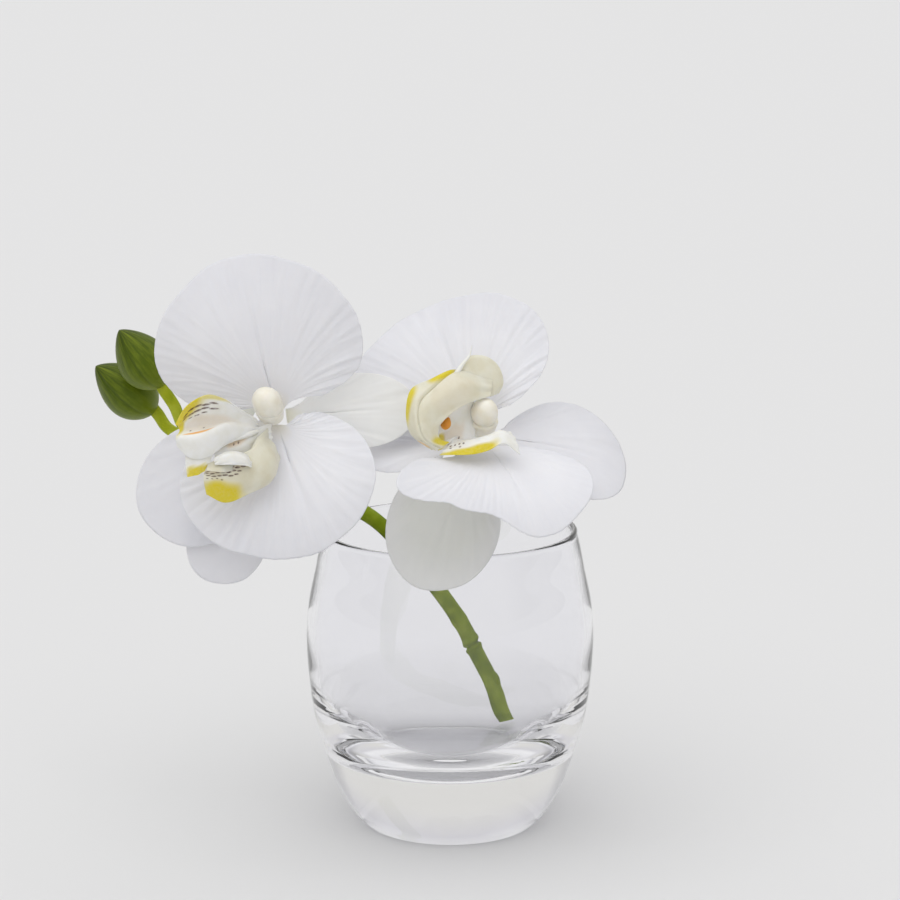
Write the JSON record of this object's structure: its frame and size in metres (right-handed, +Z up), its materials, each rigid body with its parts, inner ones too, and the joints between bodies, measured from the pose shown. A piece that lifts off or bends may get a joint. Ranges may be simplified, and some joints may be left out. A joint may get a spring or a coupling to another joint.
{
  "type": "moth orchid in vase",
  "caption": "Cut spray of white moth orchid with open flowers and closed buds, standing in a rounded clear glass vase with a thick solid base.",
  "frame": {"origin": "centre of the vase's flat underside, on the surface that it stands on", "axes": "+Z up along the vase's axis, +X to the right of the flowers' face, +Y to the back"},
  "size_m": [0.1614, 0.1198, 0.1826],
  "materials": {
    "clear_glass": "clear, fire-polished",
    "stem_green": "waxy plant skin, satin",
    "stalk_green": "waxy plant skin, satin",
    "bud_green": "waxy plant skin, satin",
    "petal_white": "soft petal with fine raised veins",
    "lip_cream": "fleshy, satin, with yellow margins and brown marks",
    "column_cream": "fleshy, satin"
  },
  "bodies": {
    "root": {"vase": "clear_glass", "stem": "stem_green", "left_pedicel": "stalk_green", "right_pedicel": "stalk_green", "lower_bud_stalk": "stalk_green", "upper_bud_stalk": "stalk_green", "lower_bud": "bud_green", "upper_bud": "bud_green", "left_upper_petal": "petal_white", "left_lower_petal": "petal_white", "left_dorsal_sepal": "petal_white", "left_outer_lateral_sepal": "petal_white", "left_lower_lateral_sepal": "petal_white", "right_upper_petal": "petal_white", "right_lower_petal": "petal_white", "right_dorsal_sepal": "petal_white", "right_side_lateral_sepal": "petal_white", "right_hanging_lateral_sepal": "petal_white", "left_lip": "lip_cream", "right_lip": "lip_cream", "left_column": "column_cream", "left_anther_cap": "column_cream", "right_column": "column_cream", "right_anther_cap": "column_cream"}
  },
  "joints": []
}
